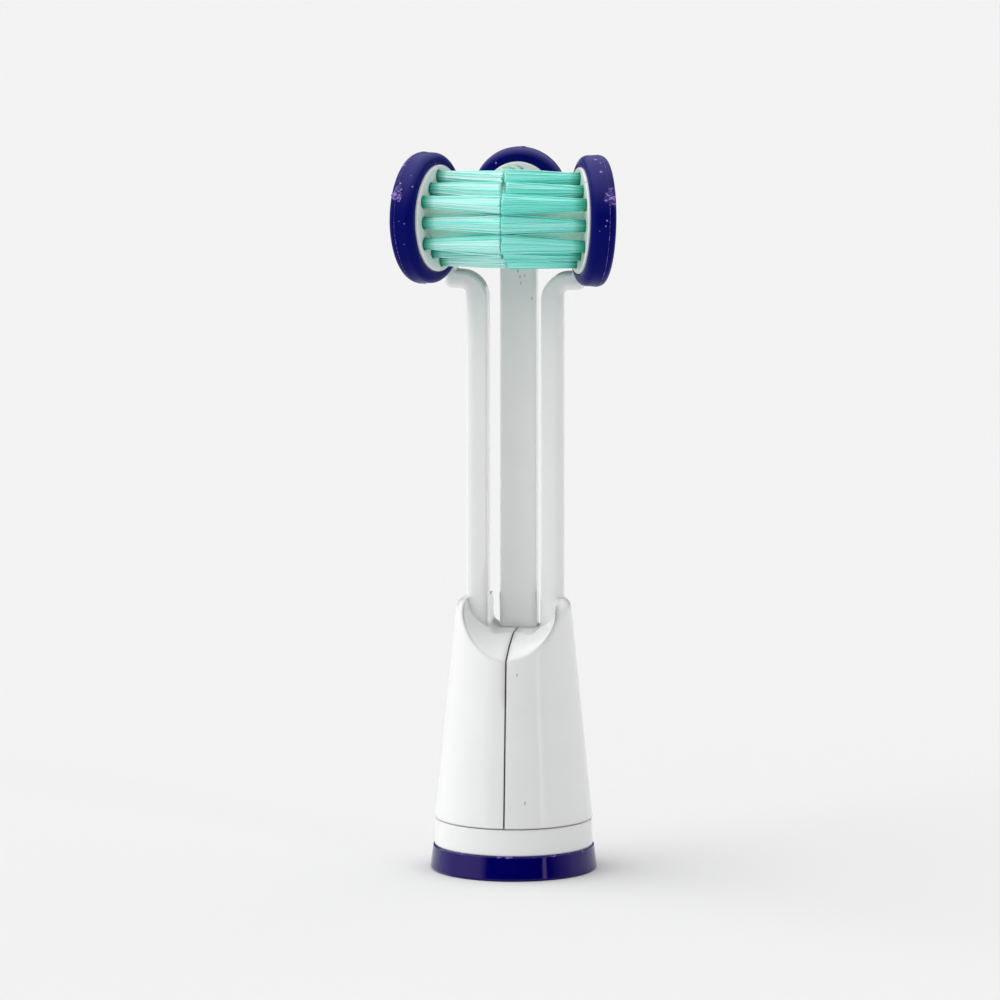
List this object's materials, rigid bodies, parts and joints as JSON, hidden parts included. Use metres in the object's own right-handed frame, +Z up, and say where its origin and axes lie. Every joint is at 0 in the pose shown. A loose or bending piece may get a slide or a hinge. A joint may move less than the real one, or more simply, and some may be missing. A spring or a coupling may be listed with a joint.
{
  "type": "electric toothbrush head",
  "caption": "Electric toothbrush head: round brush heads on arms face each other, a smaller one faces forward behind them, all with soft rims, on a tapered body with a drive socket.",
  "frame": {"origin": "centre of the base, on the plane that the colour ring stands on", "axes": "+Z up along the body's axis, -Y to the front, where the rear head's bristles point; +X to the right seen from the front"},
  "size_m": [0.0294, 0.0245, 0.0944],
  "materials": {
    "white_plastic": "gloss",
    "blue_plastic": "satin",
    "blue_elastomer": "satin",
    "green_nylon": "satin",
    "natural_nylon": "satin",
    "anchor_brass": "stamped",
    "spring_steel": "rolled"
  },
  "bodies": {
    "root": {"collar_with_socket": "white_plastic", "colour_ring": "blue_plastic", "left_anchors": "anchor_brass", "left_bumper": "blue_elastomer", "left_half_body": "white_plastic", "left_tuft_01": "green_nylon", "left_tuft_02": "green_nylon", "left_tuft_03": "green_nylon", "left_tuft_04": "green_nylon", "left_tuft_05": "natural_nylon", "left_tuft_06": "natural_nylon", "left_tuft_07": "green_nylon", "left_tuft_08": "green_nylon", "left_tuft_09": "natural_nylon", "left_tuft_10": "natural_nylon", "left_tuft_11": "natural_nylon", "left_tuft_12": "green_nylon", "left_tuft_13": "green_nylon", "left_tuft_14": "natural_nylon", "left_tuft_15": "natural_nylon", "left_tuft_16": "green_nylon", "left_tuft_17": "green_nylon", "left_tuft_18": "green_nylon", "left_tuft_19": "green_nylon", "rear_anchors": "anchor_brass", "rear_bumper": "blue_elastomer", "rear_neck": "white_plastic", "rear_tuft_1": "natural_nylon", "rear_tuft_2": "natural_nylon", "rear_tuft_3": "natural_nylon", "rear_tuft_4": "natural_nylon", "rear_tuft_5": "natural_nylon", "rear_tuft_6": "natural_nylon", "rear_tuft_7": "natural_nylon", "right_anchors": "anchor_brass", "right_bumper": "blue_elastomer", "right_half_body": "white_plastic", "right_tuft_01": "green_nylon", "right_tuft_02": "green_nylon", "right_tuft_03": "green_nylon", "right_tuft_04": "green_nylon", "right_tuft_05": "natural_nylon", "right_tuft_06": "natural_nylon", "right_tuft_07": "green_nylon", "right_tuft_08": "green_nylon", "right_tuft_09": "natural_nylon", "right_tuft_10": "natural_nylon", "right_tuft_11": "natural_nylon", "right_tuft_12": "green_nylon", "right_tuft_13": "green_nylon", "right_tuft_14": "natural_nylon", "right_tuft_15": "natural_nylon", "right_tuft_16": "green_nylon", "right_tuft_17": "green_nylon", "right_tuft_18": "green_nylon", "right_tuft_19": "green_nylon", "shaft_clip": "spring_steel"}
  },
  "joints": []
}
